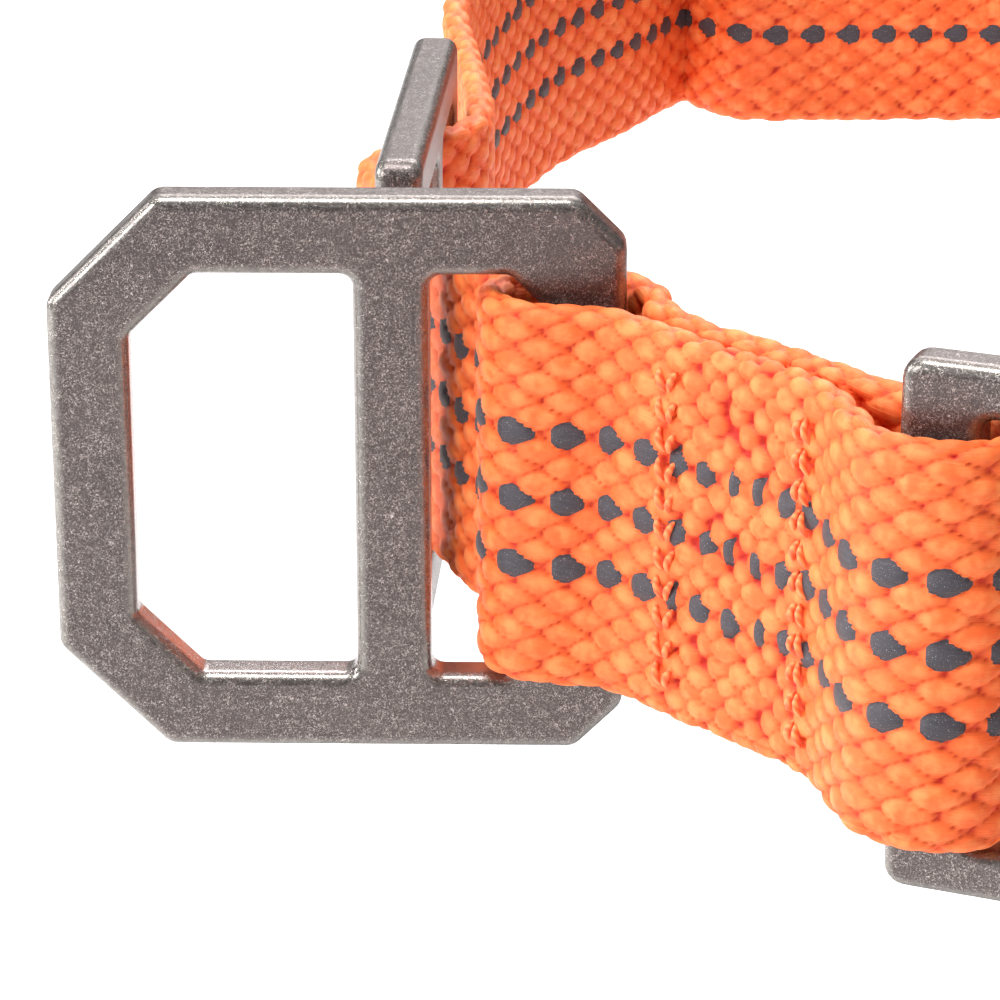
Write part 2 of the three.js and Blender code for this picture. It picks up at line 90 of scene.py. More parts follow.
# Webbing
ANKLE_WIDTH = 25 * MM
ANKLE_THICKNESS = 2.1 * MM
CALF_WIDTH = 38 * MM
CALF_THICKNESS = 2.2 * MM
BUMP_PITCH = 3.15 * MM  # from one woven bump to the next along the webbing
BUMP_HEIGHT = 0.62 * MM
ANKLE_ROWS = 48  # rows of bumps round both faces and both edges
CALF_ROWS = 72

# Strap hardware
PLATE_THICKNESS = 3.1 * MM
FILLET = 0.85 * MM  # radius of its rounded edges
PLATE_CORNER = 1.3  # radius of the plate's corners seen from the front, in mm
HOLE_CORNER = 0.8  # and of its openings' corners
BAR_MM = 4.7
SLOT_MM = 26

# World brightness against direction: where it begins and ends to rise, and from what to what
WORLD_RANGE = (0.5, 0.85)
WORLD_LIGHT = (0.16, 0.85)

scene = bpy.context.scene


# ---------------------------------------------------------------- small helpers


def add_piece(name, mesh, body, replaced=()):
    """An object for a finished mesh, riding on a CAD body."""
    piece = bpy.data.objects.new(name, mesh)
    scene.collection.objects.link(piece)
    mesh.shade_smooth()
    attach(piece, body)
    if replaced:
        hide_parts(*replaced)
    return piece


def mesh_from(name, vertices, faces):
    mesh = bpy.data.meshes.new(name)
    mesh.from_pydata([tuple(v) for v in vertices], [], faces)
    mesh.update()
    return mesh


def grid_mesh(name, points, closed_along):
    """A mesh through points[i][j]: i goes along, j round a closed section. Open ends are capped."""
    count, size, _ = points.shape
    index = np.arange(count * size).reshape(count, size)
    here = index if closed_along else index[:-1]
    ahead = np.roll(index, -1, axis=0) if closed_along else index[1:]
    quads = np.stack(
        [here, ahead, np.roll(ahead, -1, axis=1), np.roll(here, -1, axis=1)], axis=-1
    ).reshape(-1, 4)
    faces = quads.tolist()
    if not closed_along:
        faces += [index[0].tolist(), index[-1][::-1].tolist()]
    return mesh_from(name, points.reshape(-1, 3), faces)


def set_attribute(mesh, name, values):
    """A per-point attribute: one number or three numbers a point."""
    values = np.asarray(values, dtype=np.float32)
    kind = "FLOAT" if values.ndim == 1 else "FLOAT_VECTOR"
    attribute = mesh.attributes.new(name, kind, "POINT")
    attribute.data.foreach_set("value" if kind == "FLOAT" else "vector", values.ravel())


# ---------------------------------------------------------------- material nodes


class Painter:
    """Builds one material's node tree."""

    def __init__(self, name):
        self.material = bpy.data.materials.new(name)
        self.material.use_nodes = True
        self.tree = self.material.node_tree
        self.shader = self.tree.nodes["Principled BSDF"]

    def node(self, kind, inputs=None, output=0, **settings):
        made = self.tree.nodes.new("ShaderNode" + kind)
        for key, value in settings.items():
            setattr(made, key, value)
        for key, value in (inputs or {}).items():
            self.feed(made.inputs[key], value)
        return made.outputs[output]

    def feed(self, socket, value):
        if isinstance(value, bpy.types.NodeSocket):
            self.tree.links.new(value, socket)
        else:
            socket.default_value = value

    def set(self, **values):
        for key, value in values.items():
            self.feed(self.shader.inputs[key.replace("_", " ")], value)

    def math(self, operation, a, b=0.0, c=0.0, clamp=False):
        return self.node(
            "Math", {0: a, 1: b, 2: c}, operation=operation, use_clamp=clamp
        )

    def smooth(self, value, low, high, to_low=0.0, to_high=1.0):
        return self.node(
            "MapRange",
            {0: value, 1: low, 2: high, 3: to_low, 4: to_high},
            interpolation_type="SMOOTHSTEP",
        )

    def mix(self, factor, a, b):
        """A colour mix: a at 0 and b at 1."""
        made = self.tree.nodes.new("ShaderNodeMix")
        made.data_type = "RGBA"
        self.feed(made.inputs[0], factor)
        self.feed(made.inputs[6], a)
        self.feed(made.inputs[7], b)
        return made.outputs[2]

    def attribute(self, name, output):
        return self.node("Attribute", attribute_name=name, output=output)

    def coordinates(self):
        return self.node("TexCoord", output=3)

    def noise(self, scale, detail=3.0, roughness=0.5, vector=None, distortion=0.0):
        return self.node(
            "TexNoise",
            {
                "Vector": vector or self.coordinates(),
                "Scale": scale,
                "Detail": detail,
                "Roughness": roughness,
                "Distortion": distortion,
            },
        )

    def bump(self, height, distance, strength):
        return self.node("Bump", {"Height": height, "Distance": distance, "Strength": strength})


def webbing_material():
    """Coarse orange nylon whose dashes are grey.
    The "weave" attribute holds (bumps along, rows round, height). The bump height paints shade into the
    creases between bumps and a highlight onto their tops."""
    p = Painter("woven_orange")
    weave = p.attribute("weave", 1)
    parts = p.tree.nodes.new("ShaderNodeSeparateXYZ")
    p.feed(parts.inputs[0], weave)
    along, row, height = parts.outputs
    dash = p.smooth(p.attribute("dash", 2), 0.46, 0.54)
    # Yarn: fine fibres that run along each bump, a little slanted
    fibre_place = p.node(
        "CombineXYZ",
        {
            0: p.math("MULTIPLY", along, 1.6),
            1: p.math("MULTIPLY_ADD", row, 13.0, p.math("MULTIPLY", along, 4.0)),
            2: 0.0,
        },
    )
    fibres = p.noise(1.0, detail=2.0, vector=fibre_place)
    patches = p.noise(900.0, detail=2.0)
    # Painted shade: where the bumps are low, in the creases between them, the orange darkens to deep red;
    # the fibres add real grain
    grain_and_painted_light = p.math("MULTIPLY_ADD", fibres, 0.22, height)
    orange = p.mix(
        p.smooth(grain_and_painted_light, 0.30, 0.80),
        (0.62, 0.020, 0.005, 1),
        (0.93, 0.140, 0.026, 1),
    )
    # Painted highlight: the tops of the bumps turn pale orange, in random patches
    with_painted_highlight = p.mix(
        p.math("MULTIPLY", p.smooth(grain_and_painted_light, 0.7, 1.1), p.smooth(patches, 0.3, 0.7), clamp=True),
        orange,
        (1.0, 0.27, 0.075, 1),
    )
    sparkle = p.smooth(p.noise(16000.0, detail=1.0), 0.68, 0.75)
    grey = p.mix(fibres, (0.030, 0.027, 0.034, 1), (0.085, 0.078, 0.092, 1))
    grey = p.mix(sparkle, grey, (0.40, 0.38, 0.42, 1))
    p.set(
        Base_Color=p.mix(dash, with_painted_highlight, grey),
        Roughness=p.math("MULTIPLY_ADD", fibres, 0.25, 0.42),
        Normal=p.bump(fibres, 0.00012, 0.55),
        Specular_IOR_Level=0.35,
        Sheen_Weight=0.12,
        Sheen_Roughness=0.4,
        Sheen_Tint=(1.0, 0.6, 0.4, 1),
    )
    return p.material


def thread_material():
    p = Painter("orange_thread")
    twist = p.node(
        "TexWave",
        {"Vector": p.coordinates(), "Scale": 900.0, "Distortion": 2.0, "Detail": 1.0},
        bands_direction="DIAGONAL",
    )
    colour = p.mix(twist, (0.90, 0.120, 0.022, 1), (1.0, 0.28, 0.08, 1))
    p.set(
        Base_Color=colour,
        Roughness=0.5,
        Normal=p.bump(twist, 0.00006, 0.5),
        Sheen_Weight=0.2,
        Sheen_Roughness=0.5,
    )
    return p.material


def tumbled_steel():
    """Dark oxide steel from a tumbling barrel: worm-like pale marks all over, and edges rubbed bright."""
    p = Painter("tumbled_steel")
    place = p.coordinates()
    worms = p.noise(4700.0, detail=1.0, roughness=0.5, vector=place, distortion=0.9)
    ridges = p.math("ABSOLUTE", p.math("SUBTRACT", worms, 0.5))
    marks = p.smooth(ridges, 0.004, 0.030, 1.0, 0.0)
    broken = p.smooth(p.noise(1500.0, detail=3.0, vector=place), 0.36, 0.62, 0.35, 1.0)
    marks = p.math("MULTIPLY", marks, broken)
    specks = p.smooth(p.noise(9000.0, detail=1.0, vector=place), 0.60, 0.74)
    marks = p.math("MAXIMUM", marks, p.math("MULTIPLY", specks, 0.6))
    dirt = p.noise(1700.0, detail=4.0, roughness=0.7, vector=place)
    clouds = p.noise(160.0, detail=4.0, vector=place)
    base = p.mix(
        p.math("MULTIPLY_ADD", clouds, 0.5, p.math("MULTIPLY", dirt, 0.5)),
        (0.050, 0.041, 0.040, 1),
        (0.160, 0.133, 0.127, 1),
    )
    marked = p.mix(marks, base, (0.64, 0.56, 0.53, 1))
    wear = p.math(
        "MULTIPLY",
        p.attribute("wear", 2),
        p.smooth(dirt, 0.30, 0.66, 0.30, 0.8),
    )
    colour = p.mix(wear, marked, (0.30, 0.285, 0.26, 1))
    # The walls of the openings are smooth, and mirror the webbing
    wall = p.attribute("wall", 2)
    colour = p.mix(wall, colour, (0.34, 0.30, 0.29, 1))
    roughness = p.math("MULTIPLY_ADD", marks, -0.04, 0.36)
    roughness = p.math("MULTIPLY_ADD", wear, -0.18, roughness)
    relief = p.math("MULTIPLY_ADD", marks, 0.6, p.math("MULTIPLY", dirt, 0.5))
    p.set(
        Base_Color=colour,
        Metallic=0.85,
        Roughness=p.math("MULTIPLY_ADD", wall, -0.14, roughness),
        Normal=p.bump(relief, 0.00005, 0.45),
    )
    return p.material


def metal(name, dark, light, roughness, metallic=1.0, grain=700.0, stretch=(1, 1, 1)):
    """Bare or coated metal with clouds, fine grain along one direction and small scratches."""
    p = Painter(name)
    place = p.node("Mapping", {"Vector": p.coordinates(), "Scale": stretch})
    fine = p.noise(grain, detail=4.0, roughness=0.65, vector=place)
    clouds = p.noise(60.0, detail=3.0)
    colour = p.mix(p.math("MULTIPLY_ADD", fine, 0.6, p.math("MULTIPLY", clouds, 0.4)), dark, light)
    scratch = p.noise(2600.0, detail=2.0, vector=place, distortion=1.0)
    p.set(
        Base_Color=colour,
        Metallic=metallic,
        Roughness=p.math("MULTIPLY_ADD", fine, 0.22, roughness - 0.11),
        Normal=p.bump(p.math("ADD", fine, scratch), 0.00004, 0.35),
    )
    return p.material


def plastic(name, dark, light):
    p = Painter(name)
    grain = p.node("TexVoronoi", {"Vector": p.coordinates(), "Scale": 1300.0})
    clouds = p.noise(70.0)
    p.set(
        Base_Color=p.mix(clouds, dark, light),
        Roughness=p.math("MULTIPLY_ADD", clouds, 0.15, 0.42),
        Normal=p.bump(grain, 0.00012, 0.4),
    )
    return p.material


def mesh_fabric():
    """Knitted spacer mesh: a lattice of small round holes in dark cloth."""
    p = Painter("knitted_mesh")
    cells = p.node("TexVoronoi", {"Vector": p.coordinates(), "Scale": 420.0, "Randomness": 0.25})
    holes = p.smooth(cells, 0.12, 0.30)
    fuzz = p.noise(2500.0, detail=2.0)
    p.set(
        Base_Color=p.mix(
            p.math("MULTIPLY", holes, p.math("MULTIPLY_ADD", fuzz, 0.5, 0.6)),
            (0.008, 0.008, 0.010, 1),
            (0.045, 0.047, 0.052, 1),
        ),
        Roughness=0.85,
        Normal=p.bump(p.math("MULTIPLY_ADD", fuzz, 0.2, holes), 0.0005, 0.6),
        Sheen_Weight=0.3,
        Sheen_Roughness=0.6,
    )
    return p.material


WOVEN = webbing_material()
THREAD = thread_material()
TUMBLED = tumbled_steel()
FORGED = metal("forged_alloy", (0.020, 0.021, 0.024, 1), (0.045, 0.046, 0.050, 1), 0.42, 0.6)
GAFF_STEEL = metal(
    "gaff_steel", (0.22, 0.22, 0.225, 1), (0.42, 0.42, 0.43, 1), 0.34, 1.0, 500.0, (1, 6, 0.6)
)
BOLT_STEEL = metal("bolt_steel", (0.33, 0.33, 0.34, 1), (0.58, 0.58, 0.60, 1), 0.30, 1.0, 900.0)
CUFF_PLASTIC = plastic("black_plastic", (0.010, 0.010, 0.011, 1), (0.022, 0.022, 0.024, 1))
PAD_MESH = mesh_fabric()
PIPING = plastic("piping_cloth", (0.014, 0.014, 0.016, 1), (0.030, 0.030, 0.034, 1))


# ---------------------------------------------------------------- webbing


def catmull_rom(points, closed, per_span=24):
    """A centripetal Catmull-Rom curve through plan points, as the CAD's straps are swept."""
    p = np.array(points, float)
    if closed:
        p = np.vstack([p[-1], p, p[0], p[1]])
    else:
        p = np.vstack([2 * p[0] - p[1], p, 2 * p[-1] - p[-2]])
    made = []
    for a, b, c, d in zip(p, p[1:], p[2:], p[3:]):
        t0 = 0.0
        t1 = t0 + math.sqrt(np.linalg.norm(b - a))
        t2 = t1 + math.sqrt(np.linalg.norm(c - b))
        t3 = t2 + math.sqrt(np.linalg.norm(d - c))
        t = np.linspace(t1, t2, per_span, endpoint=False)[:, None]
        ab = (t1 - t) / (t1 - t0) * a + (t - t0) / (t1 - t0) * b
        bc = (t2 - t) / (t2 - t1) * b + (t - t1) / (t2 - t1) * c
        cd = (t3 - t) / (t3 - t2) * c + (t - t2) / (t3 - t2) * d
        abc = (t2 - t) / (t2 - t0) * ab + (t - t0) / (t2 - t0) * bc
        bcd = (t3 - t) / (t3 - t1) * bc + (t - t1) / (t3 - t1) * cd
        made.append((t2 - t) / (t2 - t1) * abc + (t - t1) / (t2 - t1) * bcd)
    made = np.vstack(made)
    return made if closed else np.vstack([made, p[-2]])


class Route:
    """A plan curve measured by its own length."""

    def __init__(self, points_mm, closed=False):
        self.closed = closed
        fine = catmull_rom(np.array(points_mm) * MM, closed)
        if closed:
            fine = np.vstack([fine, fine[0]])
        self.fine = fine
        steps = np.linalg.norm(np.diff(fine, axis=0), axis=1)
        self.reach = np.concatenate([[0], np.cumsum(steps)])
        self.length = self.reach[-1]

    def at(self, s):
        """Plan points at distances s, and the outward normals there, to the right of the way along."""
        s = np.asarray(s, float)
        if self.closed:
            s = s % self.length
        x = np.interp(s, self.reach, self.fine[:, 0])
        y = np.interp(s, self.reach, self.fine[:, 1])
        step = 0.35 * MM
        ahead, behind = s + step, s - step
        if self.closed:
            ahead, behind = ahead % self.length, behind % self.length
        tx = np.interp(ahead, self.reach, self.fine[:, 0]) - np.interp(behind, self.reach, self.fine[:, 0])
        ty = np.interp(ahead, self.reach, self.fine[:, 1]) - np.interp(behind, self.reach, self.fine[:, 1])
        size = np.hypot(tx, ty)
        return np.stack([x, y], -1), np.stack([ty / size, -tx / size], -1)

    def nearest(self, x_mm, y_mm):
        """The distance along the route of its point nearest a plan point."""
        gaps = np.linalg.norm(self.fine - np.array([x_mm, y_mm]) * MM, axis=1)
        return self.reach[int(np.argmin(gaps))]


def half_turn(x, y, radius, start_degrees):
    """Seven points on a half circle, anticlockwise from a direction."""
    angles = np.radians(start_degrees + 180 * np.arange(7) / 6)
    return [(x + radius * math.cos(a), y + radius * math.sin(a)) for a in angles]


def scatter(a, b, seed):
    """A repeatable number from 0 to 1 for each pair of whole numbers."""
    mixed = np.sin(a * 127.1 + b * 311.7 + seed * 74.7) * 43758.5453
    return mixed - np.floor(mixed)


def bump_field(u, v, rows, dash_rows, tightness):
    """Height, from 0 to 1, and how grey, at u bumps along and v rows round.
    Plump bumps lie in rows that are staggered by half a bump. Each is blunt behind and pointed ahead.
    tightness, from 0 to 1, breaks the order up where webbing is sewn through."""
    plain = np.zeros_like(u)
    dashed = np.zeros_like(u)
    mark = np.full_like(u, -1.0)
    second = np.zeros_like(u)
    middle = np.floor(v + 0.5)
    for side in (-1, 0, 1):
        row = middle + side
        wrapped = np.mod(row, rows)
        shift = 0.5 * np.mod(wrapped, 2)
        is_dash = np.isin(wrapped, dash_rows)
        for step in (-1, 0, 1):
            bump = np.floor(u - shift + 0.5) + step
            a = scatter(wrapped, bump, 1.0) - 0.5
            b = scatter(wrapped, bump, 2.0) - 0.5
            c = scatter(wrapped, bump, 3.0) - 0.5
            loose = 0.06 + 0.22 * tightness
            du = u - shift - bump - a * loose
            dv = v - row - b * loose
            wide = 0.92 * (1 - 0.85 * np.clip(du, -0.25, 0.52)) * (1 - 0.05 * tightness)
            long = 0.55 * (1 + c * (0.08 + 0.5 * tightness)) * (1 - 0.04 * tightness)
            plump = np.clip(1 - (du / long) ** 2 - (dv / wide) ** 2, 0, 1)
            height = plump**0.55 * (1 + 0.22 * c) * (1 - 0.22 * du)
            # A dash is cut short at both ends, where thin orange strands cross it
            short = np.where(scatter(wrapped, bump, 5.0) > 0.5, 0.16 * tightness, 0)
            ends = 0.34 - short - np.abs(du)
            height = np.where(is_dash, height * (0.80 + 0.18 * np.clip(ends / 0.05, 0, 1)), height)
            top = np.maximum(plain, dashed)
            second = np.maximum(second, np.minimum(top, height))
            mark = np.maximum(mark, np.where(is_dash, ends / 0.2, -1.0))
            dashed = np.maximum(dashed, np.where(is_dash, height, 0))
            plain = np.maximum(plain, np.where(is_dash, 0, height))
    best = np.maximum(plain, dashed)
    grey = np.clip(0.5 + np.minimum(mark, (dashed - plain) / 0.5), 0, 1)
    # Where two bumps meet there is a narrow crease
    crease = np.exp(-(((best - second) / 0.10) ** 2))
    return best - 0.32 * crease * np.minimum(best, 0.8), grey


def webbing(name, route, body, width, thickness, rows, replaced, level, spacing=0.30 * MM,
            sewn=()):
    """Woven webbing on its edge along a route. level(y) is the height of its middle.
    sewn lists stretches (from, to) along the route where stitches pull the weave together."""
    count = int(route.length / spacing)
    s = np.linspace(0, route.length, count, endpoint=not route.closed)
    plan, normal = route.at(s)

    # The section: two faces and two round edges, walked at an even pace
    edge = thickness / 2
    flat = width - 2 * edge
    around = 2 * flat + math.pi * thickness
    size = int(around / spacing / 2) * 2
    walk = (np.arange(size) + 0.5) / size * around - flat / 2
    t = np.empty(size)
    out = np.empty(size)
    nt = np.empty(size)
    no = np.empty(size)
    quarter = math.pi * thickness / 2
    for j, w in enumerate(walk):
        if w < flat / 2:
            t[j], out[j], nt[j], no[j] = w, edge, 0, 1
        elif w < flat / 2 + quarter:
            angle = (w - flat / 2) / edge
            t[j], out[j] = flat / 2 + edge * math.sin(angle), edge * math.cos(angle)
            nt[j], no[j] = math.sin(angle), math.cos(angle)
        elif w < 1.5 * flat + quarter:
            t[j], out[j], nt[j], no[j] = flat + quarter - w, -edge, 0, -1
        else:
            angle = (w - 1.5 * flat - quarter) / edge
            t[j], out[j] = -flat / 2 - edge * math.sin(angle), -edge * math.cos(angle)
            nt[j], no[j] = -math.sin(angle), -math.cos(angle)

    v = (walk / around * rows)[None, :] * np.ones((count, 1))
    face_rows = [0, 4, rows - 4, rows // 2, rows // 2 + 4, rows // 2 - 4]
    tightness = np.zeros(count)
    for start, end in sewn:
        ramp = np.minimum((s - start) / (1.5 * MM), (end - s) / (1.5 * MM))
        tightness = np.maximum(tightness, np.clip(ramp, 0, 1))
    # Stitches draw the bumps closer together
    pace = 1 + 0.4 * tightness
    reached = np.concatenate([[0], np.cumsum((pace[1:] + pace[:-1]) / 2 * np.diff(s))])
    whole = reached[-1] + (s[1] - s[0]) * pace[-1] if route.closed else reached[-1]
    pitches = round(whole / BUMP_PITCH)
    u = (reached / whole * pitches)[:, None] * np.ones(size)
    if route.closed:
        # Row and bump numbers repeat after one round, so the weave meets itself
        u = np.mod(u, pitches)
    height, grey = bump_field(u, v, rows, face_rows, tightness[:, None] * np.ones(size))
    lift = (height - 1) * BUMP_HEIGHT
    across = t[None, :] + nt[None, :] * lift
    outward = out[None, :] + no[None, :] * lift
    points = np.empty((count, size, 3))
    points[..., 0] = plan[:, None, 0] + normal[:, None, 0] * outward
    points[..., 1] = plan[:, None, 1] + normal[:, None, 1] * outward
    points[..., 2] = level(plan[:, 1])[:, None] + across
    mesh = grid_mesh(name, points, route.closed)
    set_attribute(mesh, "weave", np.stack([u, v, height], -1).reshape(-1, 3))
    set_attribute(mesh, "dash", grey.ravel())
    mesh.materials.append(WOVEN)
    return add_piece(name, mesh, body, replaced)


# How far along a stitch, and how thick it is there
STITCH_PROFILE = [(0, 0.35), (0.12, 0.8), (0.35, 1), (0.65, 1), (0.88, 0.8), (1, 0.35)]


def capsules(name, stitches, radius, body):
    """One mesh of stitches: each is a short thread between two points, thinner at its ends."""
    mesh = bmesh.new()
    for start, end, lift in stitches:
        start, end, lift = Vector(start), Vector(end), Vector(lift)
        along = (end - start).normalized()
        side = along.cross(lift).normalized()
        rings = []
        for part, girth in STITCH_PROFILE:
            centre = start.lerp(end, part) + lift * math.sin(math.pi * part)
            ring = []
            for j in range(8):
                angle = math.tau * j / 8
                offset = side * math.cos(angle) + lift.normalized() * math.sin(angle)
                ring.append(mesh.verts.new(centre + offset * radius * girth))
            rings.append(ring)
        for a, b in zip(rings, rings[1:]):
            for j in range(8):
                mesh.faces.new([a[j], b[j], b[(j + 1) % 8], a[(j + 1) % 8]])
        mesh.faces.new(rings[0])
        mesh.faces.new(rings[-1][::-1])
    bmesh.ops.recalc_face_normals(mesh, faces=mesh.faces)
    made = bpy.data.meshes.new(name)
    mesh.to_mesh(made)
    mesh.free()
    made.materials.append(THREAD)
    return add_piece(name, made, body)


def sew(name, route, distances, width, thickness, body, level):
    """Columns of stitches across the outer face of webbing, at distances along its route."""
    stitches = []
    pitch = 1.9 * MM
    count = int((width - 3 * MM) / pitch)
    for column, distance in enumerate(distances):
        plan, normal = route.at([distance - 0.25 * MM, distance + 0.25 * MM])
        lean = 1 if column % 2 else -1
        bottom = level(plan[:, 1])[0] - count * pitch / 2
        for k in range(count):
            ends = []
            for i, part in ((0, 0.12), (1, 0.88)):
                where = i if lean > 0 else 1 - i
                x, y = plan[where] + normal[where] * (thickness / 2 - 0.12 * MM)
                ends.append((x, y, bottom + (k + part) * pitch))
            lift = (normal[0][0] * 0.30 * MM, normal[0][1] * 0.30 * MM, 0)
            stitches.append((*ends, lift))
    capsules(name, stitches, 0.22 * MM, body)


# ---------------------------------------------------------------- strap hardware


def rounded(corners, radius, steps=5):
    """A polygon (mm) with each corner replaced by an arc, anticlockwise in, anticlockwise out."""
    made = []
    count = len(corners)
    for i, corner in enumerate(corners):
        p = Vector(corner)
        before = (Vector(corners[i - 1]) - p).normalized()
        after = (Vector(corners[(i + 1) % count]) - p).normalized()
        half = before.angle(after) / 2
        tangent = radius / math.tan(half)
        centre = p + (before + after).normalized() * (radius / math.sin(half))
        first = p + before * tangent - centre
        last = p + after * tangent - centre
        turn = first.angle_signed(last)
        for k in range(steps + 1):
            point = first.copy()
            point.rotate(Matrix.Rotation(-turn * k / steps, 2))
            made.append(centre + point)
    return made


def inset(loop, distance):
    """The loop moved inwards by a distance, to the left of its way round."""
    made = []
    count = len(loop)
    for i, p in enumerate(loop):
        a = (p - loop[i - 1]).normalized()
        b = (loop[(i + 1) % count] - p).normalized()
        normal = Vector((-a.y - b.y, a.x + b.x)).normalized()
        made.append(p + normal * (distance / max(normal.dot(Vector((-a.y, a.x))), 0.3)))
    return made


def plate(name, node, body, outline, openings, origin, yaw):
    """Strap hardware cut from plate and tumbled until every edge is round.
    Loops are in mm along the plate's own X and up. origin is the plan point of its own X = 0."""
    loops = [rounded(outline, PLATE_CORNER)]
    loops += [rounded(hole, HOLE_CORNER)[::-1] for hole in openings]
    half = PLATE_THICKNESS / MM / 2
    fillet = FILLET / MM
    steps = 7
    profile = [(fillet, half)]
    for k in range(1, steps + 1):
        angle = math.pi / 2 * k / steps
        profile.append((fillet * (1 - math.sin(angle)), half - fillet * (1 - math.cos(angle))))
    profile += [(d, -y) for d, y in reversed(profile)]
    turned = [min(k, len(profile) - 1 - k) / steps for k in range(len(profile))]
    wear_of = [math.sin(math.pi * part) ** 2 for part in turned]
    wall_of = [max(0, 2 * part - 1) for part in turned]
    vertices, faces, wear, wall = [], [], [], []
    cap_loops = {0: [], len(profile) - 1: []}
    for loop in loops:
        rows = []
        for k, (distance, y) in enumerate(profile):
            ring = inset(loop, distance)
            row = []
            for p in ring:
                row.append(len(vertices))
                vertices.append(Vector((p.x, y, p.y)))
                wear.append(wear_of[k])
                wall.append(0 if loop is loops[0] else wall_of[k])
            rows.append(row)
            if k in cap_loops:
                cap_loops[k].append(row)
        for a, b in zip(rows, rows[1:]):
            for j in range(len(a)):
                k = (j + 1) % len(a)
                faces.append([a[j], a[k], b[k], b[j]])
    for k, rows in cap_loops.items():
        flat = [[Vector((vertices[i].x, vertices[i].z, 0)) for i in row] for row in rows]
        numbers = [i for row in rows for i in row]
        for triangle in tessellate_polygon(flat):
            faces.append([numbers[i] for i in triangle])
    turn = Matrix.Rotation(yaw, 3, "Z")
    placed = [(turn @ v) * MM + Vector(origin) for v in vertices]
    mesh = mesh_from(name, placed, faces)
    cleaned = bmesh.new()
    cleaned.from_mesh(mesh)
    bmesh.ops.recalc_face_normals(cleaned, faces=cleaned.faces)
    cleaned.to_mesh(mesh)
    cleaned.free()
    set_attribute(mesh, "wear", wear)
    set_attribute(mesh, "wall", wall)
    mesh.materials.append(TUMBLED)
    piece = add_piece(name, mesh, body, [node])
    weighted = piece.modifiers.new("even_shading", "WEIGHTED_NORMAL")
    weighted.keep_sharp = False
    return piece


# Plan of the ankle strap (mm), as the CAD has it
RING_BAR = (-30.8, -42.6)
RING_SLOT = 26.4  # height of the ring's openings
RING_BORDER = 5
RING_YAW = math.radians(-1)
RING_LIFT = Vector((0, 0, 0.2 * MM))
LINK_BAR = (-11.4, -66.4)
LINK_YAW = math.radians(-22)
LINK_LENGTH = 28.7
SLIDER_PLACE = (-41.7, -15)
SLIDER_YAW = math.radians(86.6)
SLIDER_LENGTH = 33
ANKLE_Z = (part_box("ring_band")[0].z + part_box("ring_band")[1].z) / 2


def at_ankle(plan):
    return Vector((plan[0] * MM, plan[1] * MM, ANKLE_Z))


def cut_rectangle(left, right, height, cut_left=0, cut_right=0):
    """A rectangle, anticlockwise, whose corners are cut at 45 degrees by cut_left and cut_right."""
    h = height / 2
    corners = []
    for x, y, inward, cut in (
        (left, -h, 1, cut_left), (right, -h, -1, cut_right),
        (right, h, -1, cut_right), (left, h, 1, cut_left),
    ):
        along = (x + inward * cut, y)
        upright = (x, y - math.copysign(cut, y))
        if cut == 0:
            corners.append((x, y))
        elif inward * y > 0:
            corners += [along, upright]
        else:
            corners += [upright, along]
    return corners


def make_ring():
    bar_side = BAR_MM / 2
    outline = cut_rectangle(-33.2, bar_side, RING_SLOT + 2 * RING_BORDER, 6.8, 3)
    mouth = cut_rectangle(-28.2, -14.4, RING_SLOT, 4, 0)
    slot = cut_rectangle(-9.7, -bar_side, RING_SLOT, 0, 2.4)
    place = at_ankle(RING_BAR) + RING_LIFT
    plate("ring_plate", "ring", "ring", outline, [mouth, slot], place, RING_YAW)


def make_link():
    half = BAR_MM / 2
    middle = (LINK_LENGTH - BAR_MM) / 2
    outline = cut_rectangle(-half, LINK_LENGTH - half, SLOT_MM + 6.4)
    openings = [
        cut_rectangle(half, middle - half, SLOT_MM),
        cut_rectangle(middle + half, LINK_LENGTH - BAR_MM - half, SLOT_MM),
    ]
    plate("link_plate", "link", "link", outline, openings, at_ankle(LINK_BAR), LINK_YAW)


def make_slider():
    half = SLIDER_LENGTH / 2
    outline = cut_rectangle(-half, half, SLOT_MM + 8)
    openings = [
        cut_rectangle(-half + BAR_MM, -1.8, SLOT_MM),
        cut_rectangle(1.8, half - BAR_MM, SLOT_MM),
    ]
    plate(
        "slider_plate", "slider", "spur", outline, openings, at_ankle(SLIDER_PLACE), SLIDER_YAW
    )


make_ring()
make_link()
make_slider()

# From the middle of a bar to the middle of the webbing folded round it, in mm
FOLD_MIDDLE = 3.65
ring_band_route = Route(
    [
        *half_turn(RING_BAR[0] - 2.2, RING_BAR[1], FOLD_MIDDLE, 90),
        (-29.9, -46.9), (-27.2, -49.3), (-24.2, -52.7), (-21.2, -55.8), (-18.7, -58.7),
        (-17.3, -61.2), (-16.5, -64.6), (-15.3, -67.9),
        *half_turn(LINK_BAR[0] + 0.5, LINK_BAR[1] - 0.25, FOLD_MIDDLE, -112),
        (-11.9, -61.6), (-14.3, -59.7), (-16.5, -57.4), (-19.1, -54.4), (-21.9, -51.6),
        (-24.6, -48.6), (-26.3, -45.4), (-26.8, -42.2), (-28.9, -39.1),
    ],
    closed=True,
)


def from_strap_bar(along, side):
    """Plan point from the link's far bar, along the link and to its side."""
    pitch = LINK_LENGTH - BAR_MM
    c, s = math.cos(LINK_YAW), math.sin(LINK_YAW)
    x = LINK_BAR[0] + (pitch + along) * c - side * s
    y = LINK_BAR[1] + (pitch + along) * s + side * c
    return (x, y)


